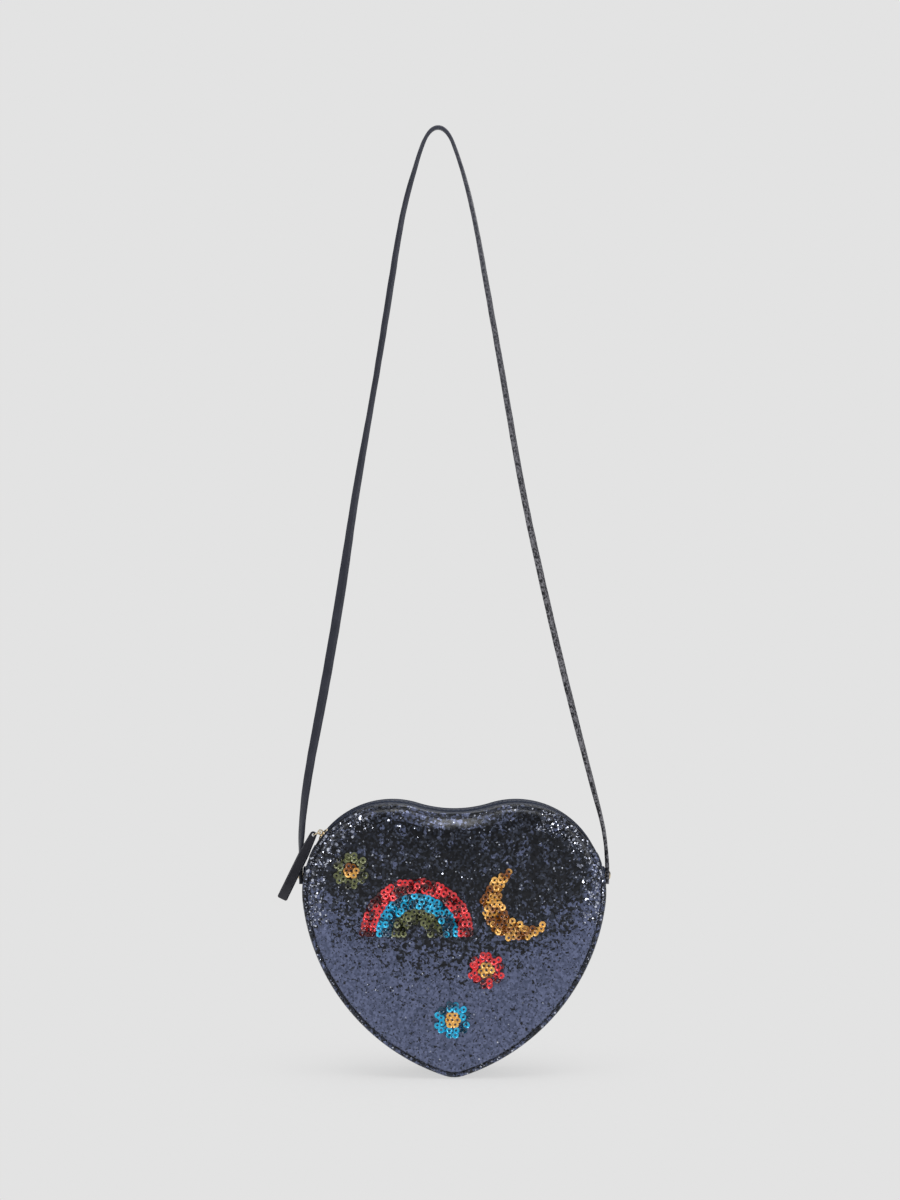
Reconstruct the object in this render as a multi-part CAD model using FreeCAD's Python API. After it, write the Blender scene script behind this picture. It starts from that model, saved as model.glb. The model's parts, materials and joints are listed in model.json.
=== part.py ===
import FreeCAD, Part
import math
import os

# Heart shaped purse on a long flat strap, in millimetres, +Z up, front towards -Y.
# The origin is the underside of the strap at its highest point, where a hook holds it.

# Heart outline, as seen from the front
lobe_radius = 52.5
lobe_spacing = 75.0
cleft_depth = 5.7
side_radius = 124.0
side_start_deg = 7.4
tip_radius = 18.0

# Where the heart hangs below the strap's highest point
heart_axis_x = 9.8
lobe_drop = 456.8

# Panels
bag_depth = 46.0
rim_depth = 3.0
panel_wall = 1.2
crown_height = 4.0
crown_run = 14.0
foam_edge = 6.0
foam_recess = 2.8
lining_wall = 0.6
back_edge_round = 0.8

# Rise of the front panel's padding from its rim: share of crown_run inwards, share of crown_height out
crown_shares = [(0.0, 0.0), (0.045, 0.36), (0.16, 0.64), (0.43, 0.86), (1.0, 1.0)]

# Gusset and zip band
gusset_wall = 2.0
facing_wall = 1.6
facing_edge = 5.5
tape_wall = 0.6
tape_width = 9.0
teeth_height = 1.8
teeth_width = 1.6
row_gap = 0.8
end_gap = 0.5
stop_length = 2.4
end_tab_wall = 0.8
end_tab_width = 14.0
end_tab_length = 7.0

# Zip ends and the fold of the mouth, as angles on the lobes
zip_left_deg = 150.0
zip_right_deg = 24.5
fold_left_deg = 133.0
fold_gap = 0.5

# Slider
park_clearance = 0.4
slider_length = 9.0
slider_width = 7.8
plate_wall = 1.1
channel_clearance = 0.5
post_width = 1.0
post_length = 2.4
post_setback = 0.8
lug_radius = 1.7
lug_width = 1.2
lug_hole_radius = 0.95

# Pull
ring_radius = 2.3
ring_wire_radius = 0.45
pull_wall = 1.6
pull_length = 45.0
pull_top_width = 4.4
pull_width = 6.4
pull_shoulder = 13.0
pull_end_corner = 1.2
pull_hole_radius = 0.9
ring_deg = 200.0
pull_deg = 244.0
pull_lean_deg = 10.5

# Strap and its fixings
strap_width = 7.0
strap_wall = 2.2
strap_y = 3.1
arc_share = 0.45
rivet_radius = 1.2
rivet_clearance = 0.08
rivet_head_radius = 2.4
rivet_head_wall = 1.0
patch_width = 11.0
patch_height = 10.0
patch_stand = 0.6
patch_gap = 1.7
strap_stand = 0.9

# Route of the strap's middle line, left end to right end, as x and z
strap_route = [
    (-82.2, -453.8), (-82.2, -431.0), (-78.4, -393.0), (-69.0, -341.0), (-58.6, -281.0),
    (-49.6, -219.0), (-38.4, -157.0), (-29.4, -101.0), (-22.0, -53.0), (-13.4, -21.0),
    (-5.6, 1.1), (5.6, 1.1), (14.0, -21.0), (21.8, -51.0), (31.0, -101.0), (40.6, -155.0),
    (52.2, -218.0), (66.0, -284.0), (80.6, -344.0), (93.4, -393.0), (101.8, -431.0), (101.8, -453.8),
]

# Sequin motifs on the front: sizes and middles as shares of the lobe radius, from the lobes' centre line
sequin_wall = 0.8
moon_radius_share = 0.42
moon_bite_radius_share = 0.34
moon_bite_shift_share = 0.21
moon_turn_deg = 35.0
moon_place_shares = (0.72, -0.12)
arch_radius_share = 0.63
arch_band_share = 0.16
arch_gap_share = 0.012
arch_place_shares = (-0.42, -0.46)
petal_radius_share = 0.071
petal_ring_share = 0.131
petal_count = 6
blossom_place_shares = {
    "blossom_red": (0.36, -0.86),
    "blossom_cyan": (-0.02, -1.42),
    "blossom_olive": (-1.16, 0.26),
}

# Worked out from the sizes above
lobe_x = lobe_spacing / 2
cleft_reach = (lobe_x**2 / cleft_depth + cleft_depth) / 2
cleft_radius = cleft_reach - lobe_radius
cleft_z = lobe_radius - cleft_depth + cleft_radius
cleft_lean = math.asin(lobe_x / cleft_reach)
side_start = math.radians(side_start_deg)
side_x = (side_radius - lobe_radius) * math.cos(side_start) - lobe_x
side_z = (side_radius - lobe_radius) * math.sin(side_start)
tip_z = side_z - math.sqrt((side_radius - tip_radius) ** 2 - side_x**2)
tip_lean = math.atan2(side_z - tip_z, side_x)
half_width = lobe_x + lobe_radius
half_depth = bag_depth / 2
gusset_half = half_depth - rim_depth
front_y = -half_depth - crown_height
reach = 2 * (half_width + bag_depth)
teeth_inset = facing_wall + (tape_wall - teeth_height) / 2
strap_x = half_width + strap_stand + strap_wall / 2
plate_outer_radius = lobe_radius - teeth_inset + channel_clearance
plate_inner_radius = lobe_radius - teeth_inset - teeth_height - channel_clearance
slider_half_angle = slider_length / 2 / lobe_radius
pivot_radius = plate_outer_radius + plate_wall + lug_radius
stop_reach = end_gap + stop_length + park_clearance
park = math.radians(zip_left_deg) - (stop_reach + slider_length / 2) / lobe_radius
pivot = (-lobe_x + pivot_radius * math.cos(park), pivot_radius * math.sin(park))
tab_foot = lobe_radius * math.sin(math.radians(zip_right_deg) - (end_gap + end_tab_length) / lobe_radius)
rivet_rise = tab_foot - patch_gap - patch_height / 2


def point(x, y, z):
    return FreeCAD.Vector(x, y, z)


def on_circle(centre, radius, angle):
    return (centre[0] + radius * math.cos(angle), centre[1] + radius * math.sin(angle))


def arc(centre, radius, start, end, y):
    """Arc in the plane at depth y, from one angle to the other."""
    angles = (start, (start + end) / 2, end)
    corners = [on_circle(centre, radius, a) for a in angles]
    return Part.Arc(*[point(x, y, z) for x, z in corners]).toShape()


def line(start, end, y):
    return Part.LineSegment(point(start[0], y, start[1]), point(end[0], y, end[1])).toShape()


def heart_wire(inset, y):
    """Closed heart outline in the plane at depth y, moved inwards by inset."""
    top = math.pi / 2 + cleft_lean
    low = -math.pi / 2
    lobe = lobe_radius - inset
    side = side_radius - inset
    edges = [
        arc((lobe_x, 0), lobe, top, -side_start, y),
        arc((-side_x, side_z), side, -side_start, -tip_lean, y),
        arc((0, tip_z), tip_radius - inset, -tip_lean, tip_lean - math.pi, y),
        arc((side_x, side_z), side, tip_lean - math.pi, side_start - math.pi, y),
        arc((-lobe_x, 0), lobe, math.pi + side_start, math.pi - top, y),
        arc((0, cleft_z), cleft_radius + inset, low - cleft_lean, low + cleft_lean, y),
    ]
    return Part.Wire(edges)


def heart_slab(inset, y_start, y_end):
    face = Part.Face(heart_wire(inset, y_start))
    return face.extrude(point(0, y_end - y_start, 0))


def heart_ring(inset_start, inset_end, y_start, y_end):
    return heart_slab(inset_start, y_start, y_end).cut(heart_slab(inset_end, y_start, y_end))


def heart_loft(stations):
    """Solid through heart outlines, each given as an inset and a depth."""
    return Part.makeLoft([heart_wire(inset, y) for inset, y in stations], True, True)


def polygon_slab(corners, y_start, y_end):
    corners = [point(x, y_start, z) for x, z in corners]
    face = Part.Face(Part.makePolygon(corners + corners[:1]))
    return face.extrude(point(0, y_end - y_start, 0))


def sector(centre, inner, outer, start, end, y_start, y_end):
    """Curved block between two radii and two angles."""
    edges = [
        arc(centre, outer, start, end, y_start),
        line(on_circle(centre, outer, end), on_circle(centre, inner, end), y_start),
        arc(centre, inner, end, start, y_start),
        line(on_circle(centre, inner, start), on_circle(centre, outer, start), y_start),
    ]
    return Part.Face(Part.Wire(edges)).extrude(point(0, y_end - y_start, 0))


def y_cylinder(centre, radius, y_start, y_end):
    base = point(centre[0], y_start, centre[1])
    return Part.makeCylinder(radius, y_end - y_start, base, point(0, 1, 0))


def left_lobe(angle_deg):
    return on_circle((-lobe_x, 0), lobe_radius, math.radians(angle_deg))


def right_lobe(angle_deg):
    return on_circle((lobe_x, 0), lobe_radius, math.radians(angle_deg))


fold_line = (left_lobe(fold_left_deg), right_lobe(zip_right_deg))
zip_line = (left_lobe(zip_left_deg), right_lobe(zip_right_deg))


def above(ends, lift):
    """Block that holds everything above the line between two points, the line raised by lift."""
    (x0, z0), (x1, z1) = ends
    length = math.hypot(x1 - x0, z1 - z0)
    along = ((x1 - x0) / length, (z1 - z0) / length)
    up = (-along[1], along[0])
    corners = []
    for base, run, rise in ((0, -reach, lift), (1, reach, lift), (1, reach, reach), (0, -reach, reach)):
        x, z = ends[base]
        corners.append((x + along[0] * run + up[0] * rise, z + along[1] * run + up[1] * rise))
    return polygon_slab(corners, -reach, reach)


flap_space = above(fold_line, fold_gap / 2)
above_fold = above(fold_line, -fold_gap / 2)
zip_space = above(zip_line, end_gap / 2)
above_zip = above(zip_line, -end_gap / 2)
left_half = polygon_slab([(-reach, -reach), (0, -reach), (0, reach), (-reach, reach)], -reach, reach)

parts = {}


def add(name, shape):
    """Keep a finished piece, moved from the heart's own middle to where it hangs."""
    shape = shape.copy()
    shape.translate(point(heart_axis_x, -strap_y, -lobe_drop))
    parts[name] = shape


def add_folding(name, shape):
    """Keep a piece of the front in two, parted along the fold of the mouth."""
    add(name + "_lower", shape.cut(above_fold))
    add(name + "_flap", shape.common(flap_space))


def crown(offset):
    """The padded front's own form, all its faces moved inwards by offset."""
    stations = [(offset, -gusset_half)]
    for inset_share, lift_share in crown_shares:
        stations.append((offset + inset_share * crown_run, offset - half_depth - lift_share * crown_height))
    return heart_loft(stations)


def front_pieces():
    """Outer fabric, the foam pad behind it, and the lining let into the back of the pad."""
    filling = crown(panel_wall)
    floor = -gusset_half - foam_recess
    recess = heart_slab(foam_edge, floor, -gusset_half)
    pocket = heart_slab(foam_edge + lining_wall, floor + lining_wall, -gusset_half + lining_wall)
    rim = heart_slab(gusset_wall + lining_wall, -gusset_half, lining_wall - gusset_half)
    add_folding("front_panel", crown(0).cut(filling))
    add_folding("front_foam", filling.cut(recess))
    add_folding("front_lining", rim.fuse(recess).cut(pocket).removeSplitter())


def back_pieces():
    outer = heart_loft([
        (0, gusset_half),
        (0, half_depth - back_edge_round),
        (back_edge_round, half_depth),
    ])
    board = heart_slab(panel_wall, gusset_half, half_depth - panel_wall)
    add("back_panel", outer.cut(board))
    add("back_board", board)
    lining_inset = gusset_wall + lining_wall
    add("back_lining", heart_slab(lining_inset, gusset_half - lining_wall, gusset_half))


def rivet_hole(side):
    """Cylinder through the side of the bag, where a rivet sits."""
    base = point(side * lobe_x, strap_y, rivet_rise)
    return Part.makeCylinder(rivet_radius, half_width, base, point(side, 0, 0))


def gusset_pieces():
    band = heart_ring(0, gusset_wall, -gusset_half, gusset_half).cut(above_zip)
    skin_half = gusset_half - lining_wall
    skin = heart_ring(gusset_wall, gusset_wall + lining_wall, -skin_half, skin_half).cut(above_zip)
    for side in (-1, 1):
        band = band.cut(rivet_hole(side))
        skin = skin.cut(rivet_hole(side))
    add("gusset_band", band)
    add("gusset_lining", skin)


def add_zip_run(name, inset, wall, near, far):
    """Keep one layer of the zip on both sides of the mouth, from near to far off the middle."""
    back = heart_ring(inset, inset + wall, near, far).common(zip_space)
    front = heart_ring(inset, inset + wall, -far, -near).common(zip_space)
    add(name + "_back", back)
    add(name + "_front", front.common(flap_space))
    add(name + "_front_end", front.cut(above_fold).common(left_half))


def zip_pieces():
    tape_near = row_gap + teeth_width
    add_zip_run("zip_facing", 0, facing_wall, facing_edge, gusset_half)
    add_zip_run("zip_tape", facing_wall, tape_wall, tape_near, tape_near + tape_width)
    add_zip_run("zip_teeth", teeth_inset, teeth_height, row_gap, tape_near)
    outer = lobe_radius - teeth_inset
    stop_angle = stop_length / lobe_radius
    tab_angle = end_tab_length / lobe_radius
    gap_angle = end_gap / lobe_radius
    ends = (("left", -1, zip_left_deg, -row_gap), ("right", 1, zip_right_deg, 0))
    for name, side, end_deg, stop_front in ends:
        centre = (side * lobe_x, 0)
        end = math.radians(end_deg)
        stop_end = end + side * gap_angle
        stop = sector(centre, outer - teeth_height, outer, stop_end, stop_end + side * stop_angle,
                      stop_front, row_gap)
        add("zip_stop_" + name, stop.common(zip_space))
        tab_end = end - side * gap_angle
        tab = sector(centre, lobe_radius, lobe_radius + end_tab_wall, tab_end, tab_end - side * tab_angle,
                     -end_tab_width / 2, end_tab_width / 2)
        add("zip_end_tab_" + name, tab)


def slider_pieces():
    centre = (-lobe_x, 0)
    half = slider_width / 2
    start = park - slider_half_angle
    end = park + slider_half_angle
    outer_top = plate_outer_radius + plate_wall
    body = sector(centre, plate_outer_radius, outer_top, start, end, -half, half)
    inner = sector(centre, plate_inner_radius - plate_wall, plate_inner_radius, start, end, -half, half)
    post_end = end - post_setback / lobe_radius
    post_start = post_end - post_length / lobe_radius
    post = sector(centre, plate_inner_radius, plate_outer_radius, post_start, post_end,
                  -post_width / 2, post_width / 2)
    add("slider_body", body.fuse(inner).fuse(post).removeSplitter())
    foot_angle = lug_radius / pivot_radius
    foot = sector(centre, outer_top, pivot_radius, park - foot_angle, park + foot_angle,
                  -lug_width / 2, lug_width / 2)
    lug = foot.fuse(y_cylinder(pivot, lug_radius, -lug_width / 2, lug_width / 2)).removeSplitter()
    lug = lug.cut(y_cylinder(pivot, lug_hole_radius, -lug_width, lug_width))
    lug = lug.cut(y_cylinder(centre, outer_top, -lug_width, lug_width))
    add("slider_lug", lug)


def leaning(angle_deg):
    """Direction at an angle in the front plane, leant forward, and the one across it in that plane."""
    turn = math.radians(angle_deg)
    lean = math.radians(pull_lean_deg)
    flat = point(math.cos(turn), 0, math.sin(turn))
    across = point(-math.sin(turn), 0, math.cos(turn))
    return flat * math.cos(lean) + point(0, -math.sin(lean), 0), across


def pull_pieces():
    lug_at = point(pivot[0], 0, pivot[1])
    along, across = leaning(ring_deg)
    add("pull_ring", Part.makeTorus(ring_radius, ring_wire_radius, lug_at + along * ring_radius, across))
    hole_at = lug_at + along * (2 * ring_radius)
    top_half = pull_top_width / 2
    half = pull_width / 2
    foot = pull_length - top_half
    corners = [
        point(0, top_half, 0),
        point(pull_shoulder, half, 0),
        point(foot - pull_end_corner, half, 0),
        point(foot, half - pull_end_corner, 0),
        point(foot, pull_end_corner - half, 0),
        point(foot - pull_end_corner, -half, 0),
        point(pull_shoulder, -half, 0),
        point(0, -top_half, 0),
    ]
    edges = [Part.LineSegment(a, b).toShape() for a, b in zip(corners, corners[1:])]
    edges.append(Part.Arc(corners[-1], point(-top_half, 0, 0), corners[0]).toShape())
    strip = Part.Face(Part.Wire(edges)).extrude(point(0, 0, pull_wall))
    strip = strip.cut(Part.makeCylinder(pull_hole_radius, pull_wall))
    strip.translate(point(0, 0, -pull_wall / 2))
    along, across = leaning(pull_deg)
    turn = FreeCAD.Rotation(along, across, along.cross(across), "XYZ")
    strip.Placement = FreeCAD.Placement(hole_at, turn).multiply(strip.Placement)
    add("leather_pull", strip)


def turn_radius(before, corner, after):
    """Setback and radius of the arc that rounds one corner of the strap's route."""
    into = (corner[0] - before[0], corner[1] - before[1])
    out = (after[0] - corner[0], after[1] - corner[1])
    turn = math.atan2(into[0] * out[1] - into[1] * out[0], into[0] * out[0] + into[1] * out[1])
    setback = arc_share * min(math.hypot(*into), math.hypot(*out))
    return setback, setback / math.tan(turn / 2)


def strap_side(offset):
    """Edges of one face of the strap, offset to the left of its middle line, and the line's length."""
    edges = []
    length = 0
    left = math.pi / 2
    here = strap_route[0]
    for before, corner, after in zip(strap_route, strap_route[1:], strap_route[2:]):
        setback, radius = turn_radius(before, corner, after)
        heading = math.atan2(corner[1] - before[1], corner[0] - before[0])
        leaving = math.atan2(after[1] - corner[1], after[0] - corner[0])
        meets = on_circle(corner, -setback, heading)
        leaves = on_circle(corner, setback, leaving)
        edges.append(line(on_circle(here, offset, heading + left), on_circle(meets, offset, heading + left),
                          -strap_width / 2))
        centre = on_circle(meets, radius, heading + left)
        edges.append(arc(centre, offset - radius, heading + left, leaving + left, -strap_width / 2))
        length += math.hypot(meets[0] - here[0], meets[1] - here[1]) + abs(radius * (leaving - heading))
        here = leaves
    end = strap_route[-1]
    heading = math.atan2(end[1] - here[1], end[0] - here[0])
    edges.append(line(on_circle(here, offset, heading + left), on_circle(end, offset, heading + left),
                      -strap_width / 2))
    length += math.hypot(end[0] - here[0], end[1] - here[1])
    return edges, length


def strap_pieces():
    near, length = strap_side(strap_wall / 2)
    far, _ = strap_side(-strap_wall / 2)
    caps = []
    for a, b in ((near[0].Vertexes[0], far[0].Vertexes[0]), (near[-1].Vertexes[1], far[-1].Vertexes[1])):
        caps.append(Part.LineSegment(a.Point, b.Point).toShape())
    outline = Part.Wire(Part.__sortEdges__(near + far + caps))
    strap = Part.Face(outline).extrude(point(0, strap_width, 0))
    print("strap length", round(length, 1), "volume over section times length",
          round(strap.Volume / (strap_width * strap_wall * length), 4))
    corners = zip(strap_route, strap_route[1:], strap_route[2:])
    print("strap radii", [round(abs(turn_radius(*three)[1]), 1) for three in corners])
    hole_radius = rivet_radius + rivet_clearance
    for end in (strap_route[0], strap_route[-1]):
        base = point(end[0] - strap_wall, 0, rivet_rise - lobe_drop)
        strap = strap.cut(Part.makeCylinder(hole_radius, 2 * strap_wall, base, point(1, 0, 0)))
    parts["shoulder_strap"] = strap


def fixing_pieces():
    """Patches on the sides of the bag, and a rivet through each, with its head outside the strap."""
    seat_radius = lobe_radius - gusset_wall - lining_wall
    inner_x = lobe_x + math.sqrt(seat_radius**2 - (rivet_rise + rivet_head_radius) ** 2)
    outer_x = strap_x + strap_wall / 2 + rivet_clearance
    corner = point(half_width + patch_stand - lobe_radius, strap_y - patch_width / 2,
                   rivet_rise - patch_height / 2)
    for name, side in (("left", -1), ("right", 1)):
        outward = point(side, 0, 0)
        patch = Part.makeBox(lobe_radius, patch_width, patch_height, corner)
        patch = patch.cut(heart_slab(0, -half_depth, half_depth))
        if side < 0:
            patch = patch.mirror(point(0, 0, 0), outward)
        add("strap_patch_" + name, patch.cut(rivet_hole(side)))
        inner = point(side * inner_x, strap_y, rivet_rise)
        outer = point(side * outer_x, strap_y, rivet_rise)
        shank = Part.makeCylinder(rivet_radius, outer_x - inner_x, inner, outward)
        head = Part.makeCone(rivet_head_radius, rivet_radius, rivet_head_wall, outer, outward)
        cap = Part.makeCylinder(rivet_head_radius, rivet_head_wall, inner, -outward)
        add("strap_rivet_" + name, shank.fuse(head).fuse(cap).removeSplitter())


def place_of(shares):
    return (shares[0] * lobe_radius, shares[1] * lobe_radius)


def sequin_pieces():
    """Thin plates that hold the place of each group of sequins."""
    start, end = front_y - sequin_wall, front_y
    middle = place_of(moon_place_shares)
    bite_at = on_circle(middle, moon_bite_shift_share * lobe_radius, math.radians(moon_turn_deg))
    bite = y_cylinder(bite_at, moon_bite_radius_share * lobe_radius, start, end)
    add("moon_sequins", y_cylinder(middle, moon_radius_share * lobe_radius, start, end).cut(bite))
    middle = place_of(arch_place_shares)
    band = arch_band_share * lobe_radius
    for step, colour in enumerate(("red", "cyan", "olive")):
        outer = (arch_radius_share - step * (arch_band_share + arch_gap_share)) * lobe_radius
        add("arch_sequins_" + colour, sector(middle, outer - band, outer, 0, math.pi, start, end))
    petal_radius = petal_radius_share * lobe_radius
    petal_ring = petal_ring_share * lobe_radius
    for name, shares in blossom_place_shares.items():
        middle = place_of(shares)
        blossom = y_cylinder(middle, petal_ring, start, end)
        for step in range(petal_count):
            petal_at = on_circle(middle, petal_ring, math.pi / 2 + 2 * math.pi * step / petal_count)
            blossom = blossom.fuse(y_cylinder(petal_at, petal_radius, start, end))
        add(name, blossom.removeSplitter())


front_pieces()
back_pieces()
gusset_pieces()
zip_pieces()
slider_pieces()
pull_pieces()
strap_pieces()
fixing_pieces()
sequin_pieces()

os.makedirs("parts", exist_ok=True)
for name, shape in parts.items():
    shape.exportStep(os.path.join("parts", name + ".step"))
    solids = shape.Solids
    print(name, len(solids), all(s.isValid() for s in solids), [round(s.Volume, 1) for s in solids])
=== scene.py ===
import json
import random
from math import asin, atan2, cos, exp, hypot, pi, radians, sin, sqrt, tan

import bmesh
import bpy
from mathutils import Matrix, Vector, noise
from mathutils.bvhtree import BVHTree


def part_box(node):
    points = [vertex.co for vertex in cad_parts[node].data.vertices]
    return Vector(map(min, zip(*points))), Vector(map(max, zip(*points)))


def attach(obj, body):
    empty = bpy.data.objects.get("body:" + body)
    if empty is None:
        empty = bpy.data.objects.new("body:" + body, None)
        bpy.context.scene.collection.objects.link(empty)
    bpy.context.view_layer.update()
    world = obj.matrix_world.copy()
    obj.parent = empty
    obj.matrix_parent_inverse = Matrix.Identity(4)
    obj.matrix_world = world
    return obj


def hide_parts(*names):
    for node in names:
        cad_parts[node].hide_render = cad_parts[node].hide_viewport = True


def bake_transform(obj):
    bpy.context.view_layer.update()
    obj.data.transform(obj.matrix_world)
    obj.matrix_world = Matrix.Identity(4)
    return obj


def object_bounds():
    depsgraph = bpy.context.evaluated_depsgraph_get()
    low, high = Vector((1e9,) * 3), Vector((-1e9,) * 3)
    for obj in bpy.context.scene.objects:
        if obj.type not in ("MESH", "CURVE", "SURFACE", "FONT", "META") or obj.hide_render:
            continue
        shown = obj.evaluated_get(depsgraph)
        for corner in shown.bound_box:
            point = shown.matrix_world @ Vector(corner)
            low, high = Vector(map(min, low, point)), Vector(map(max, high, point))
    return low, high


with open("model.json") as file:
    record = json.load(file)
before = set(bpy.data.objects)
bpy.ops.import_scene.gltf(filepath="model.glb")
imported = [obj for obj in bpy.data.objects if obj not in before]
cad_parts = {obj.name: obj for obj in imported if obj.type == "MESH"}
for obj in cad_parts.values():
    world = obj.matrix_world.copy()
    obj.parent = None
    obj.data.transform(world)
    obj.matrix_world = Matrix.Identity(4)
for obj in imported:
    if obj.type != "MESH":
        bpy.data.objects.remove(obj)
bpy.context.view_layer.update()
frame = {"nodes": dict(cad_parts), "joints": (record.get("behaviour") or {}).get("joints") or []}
joints = {joint["name"]: joint for joint in frame["joints"]}
mm = 0.001
y_axis = Vector((0, 1, 0))
z_axis = Vector((0, 0, 1))

# The heart: places and outer sizes from the frame, and the sizes of its arcs
back_low, back_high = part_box("back_panel")
gusset_low, gusset_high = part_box("gusset_band")
left_lobe = Vector(joints["zip_travel"]["pos_m"])
middle = Vector(((back_low.x + back_high.x) / 2, left_lobe.y, left_lobe.z))
half_width = (back_high.x - back_low.x) / 2
lobe_x = middle.x - left_lobe.x
lobe_radius = half_width - lobe_x
gusset_half = (gusset_high.y - gusset_low.y) / 2
cleft_depth = 5.7 * mm
side_radius = 124.0 * mm
side_start = radians(7.4)
tip_radius = 18.0 * mm

# The zip over the top of the heart
zip_left = radians(150)
zip_right = radians(24.5)

# Steps along the outline
heart_samples = 700
run_step = 0.9 * mm


def heart_arcs():
    """Arcs clockwise from the cleft: x, z, radius, first and last angle, and 1 bulging or -1 hollow."""
    reach = (lobe_x ** 2 / cleft_depth + cleft_depth) / 2
    lean = asin(lobe_x / reach)
    hollow = reach - lobe_radius
    hollow_z = lobe_radius - cleft_depth + hollow
    side_x = (side_radius - lobe_radius) * cos(side_start) - lobe_x
    side_z = (side_radius - lobe_radius) * sin(side_start)
    tip_drop = sqrt((side_radius - tip_radius) ** 2 - side_x ** 2)
    tip_lean = atan2(tip_drop, side_x)
    top = pi / 2 + lean
    down = -pi / 2
    return [
        (0, hollow_z, hollow, down, down + lean, -1),
        (lobe_x, 0, lobe_radius, top, -side_start, 1),
        (-side_x, side_z, side_radius, -side_start, -tip_lean, 1),
        (0, side_z - tip_drop, tip_radius, -tip_lean, tip_lean - pi, 1),
        (side_x, side_z, side_radius, tip_lean - pi, side_start - pi, 1),
        (-lobe_x, 0, lobe_radius, pi + side_start, pi - top, 1),
        (0, hollow_z, hollow, down - lean, down, -1),
    ]


arcs = heart_arcs()
arc_lengths = [radius * abs(last - first) for _, _, radius, first, last, _ in arcs]
round_length = sum(arc_lengths)
right_lobe_start = arcs[1][3]
left_lobe_end = arcs[5][4]


def along_lobe(side, turn):
    """Distance along the outline of an angle on a lobe: it is negative on the left one."""
    if side == "right":
        return arc_lengths[0] + lobe_radius * (right_lobe_start - turn)
    return -arc_lengths[0] - lobe_radius * (turn - left_lobe_end)


zip_start = along_lobe("left", zip_left)
zip_end = along_lobe("right", zip_right)


def on_heart(along):
    """Place on the outline at a distance along it, as x and z, and its outward normal."""
    along %= round_length
    for (x, z, radius, first, last, bulge), length in zip(arcs, arc_lengths):
        if along <= length:
            break
        along -= length
    turn = first + (last - first) * min(1.0, along / length)
    out_x, out_z = cos(turn), sin(turn)
    return x + radius * out_x, z + radius * out_z, bulge * out_x, bulge * out_z


def on_band(along, inset, y):
    """Point at a distance along the outline, an inset from it and a depth from the bag's middle."""
    x, z, normal_x, normal_z = on_heart(along)
    return middle + Vector((x - inset * normal_x, y, z - inset * normal_z))


def node_middle(node):
    """Middle of a CAD node's box, as x and z beside the middle of the heart."""
    low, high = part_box(node)
    return (low.x + high.x) / 2 - middle.x, (low.z + high.z) / 2 - middle.z


def steps(first, last, step):
    count = max(2, round(abs(last - first) / step))
    return [first + (last - first) * i / count for i in range(count + 1)]


def between(table, share):
    """Smooth value at a share along a table of shares and values."""
    for (low, low_value), (high, high_value) in zip(table, table[1:]):
        if share <= high:
            part = (share - low) / (high - low)
            part = part * part * (3 - 2 * part)
            return low_value + (high_value - low_value) * part
    return table[-1][1]


def in_metres(table):
    return [(a * mm, b * mm) for a, b in table]


def placed(name, data):
    """A new object in the scene."""
    thing = bpy.data.objects.new(name, data)
    bpy.context.scene.collection.objects.link(thing)
    return thing


class Heap:
    """Points and faces gathered for one piece."""

    def __init__(self):
        self.points = []
        self.faces = []

    def loft(self, rings, loop=False):
        """Skin over rings of equal count, with closed ends or joined in a loop."""
        start, count = len(self.points), len(rings[0])
        for ring in rings:
            self.points.extend(ring)
        last = len(rings) if loop else len(rings) - 1
        for i in range(last):
            a, b = start + i * count, start + (i + 1) % len(rings) * count
            for j in range(count):
                k = (j + 1) % count
                self.faces.append((a + j, a + k, b + k, b + j))
        if not loop:
            for ring, base in ((rings[0], start), (rings[-1], start + (len(rings) - 1) * count)):
                self.points.append(sum(ring, Vector()) / count)
                hub = len(self.points) - 1
                self.faces.extend((base + j, base + (j + 1) % count, hub) for j in range(count))

    def piece(self, name, material, sharp_deg=50):
        """One mesh object with outward faces, smooth but for edges sharper than an angle."""
        mesh = bpy.data.meshes.new(name)
        mesh.from_pydata([tuple(point) for point in self.points], [], self.faces)
        shell = bmesh.new()
        shell.from_mesh(mesh)
        bmesh.ops.recalc_face_normals(shell, faces=shell.faces)
        shell.to_mesh(mesh)
        shell.free()
        mesh.shade_smooth()
        mesh.set_sharp_from_angle(angle=radians(sharp_deg))
        mesh.materials.append(material)
        return placed(name, mesh)


def lofted(name, rings, material, sharp_deg=50, loop=False):
    """One piece with a skin over rings."""
    heap = Heap()
    heap.loft(rings, loop)
    return heap.piece(name, material, sharp_deg)


def rounded_box(width, height, radius, corner_steps=4):
    """Outline of a rectangle with round corners, as pairs, with its outward normals."""
    outline = []
    for corner, (sx, sz) in enumerate(((1, 1), (-1, 1), (-1, -1), (1, -1))):
        for i in range(corner_steps + 1):
            turn = pi / 2 * (corner + i / corner_steps)
            out_x, out_z = cos(turn), sin(turn)
            x = sx * (width / 2 - radius) + radius * out_x
            z = sz * (height / 2 - radius) + radius * out_z
            outline.append((x, z, out_x, out_z))
    return outline


def plate_rings(outline, place, levels):
    """Rings of an outline at levels of inset and height, put in space by a function."""
    rings = []
    for inset, height in levels:
        rings.append([place(a - inset * na, b - inset * nb, height) for a, b, na, nb in outline])
    return rings


def swung(x, z, radius, turn):
    return x + radius * cos(turn), z + radius * sin(turn)


def round_turns(count):
    return [2 * pi * i / count for i in range(count)]


def ring_about(point, across, up, radius, turns):
    return [point + radius * (cos(turn) * across + sin(turn) * up) for turn in turns]


def heading(path, i):
    """Direction of a line of points at one of them."""
    return path[min(i + 1, len(path) - 1)] - path[max(i - 1, 0)]


# Sewing thread
thread_sides = 6
thread_end_share = 0.55
thread_skew = Vector((0.3, 1, 0.2))
stitch_shares = (-1, -0.6, 0, 0.6, 1)


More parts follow.
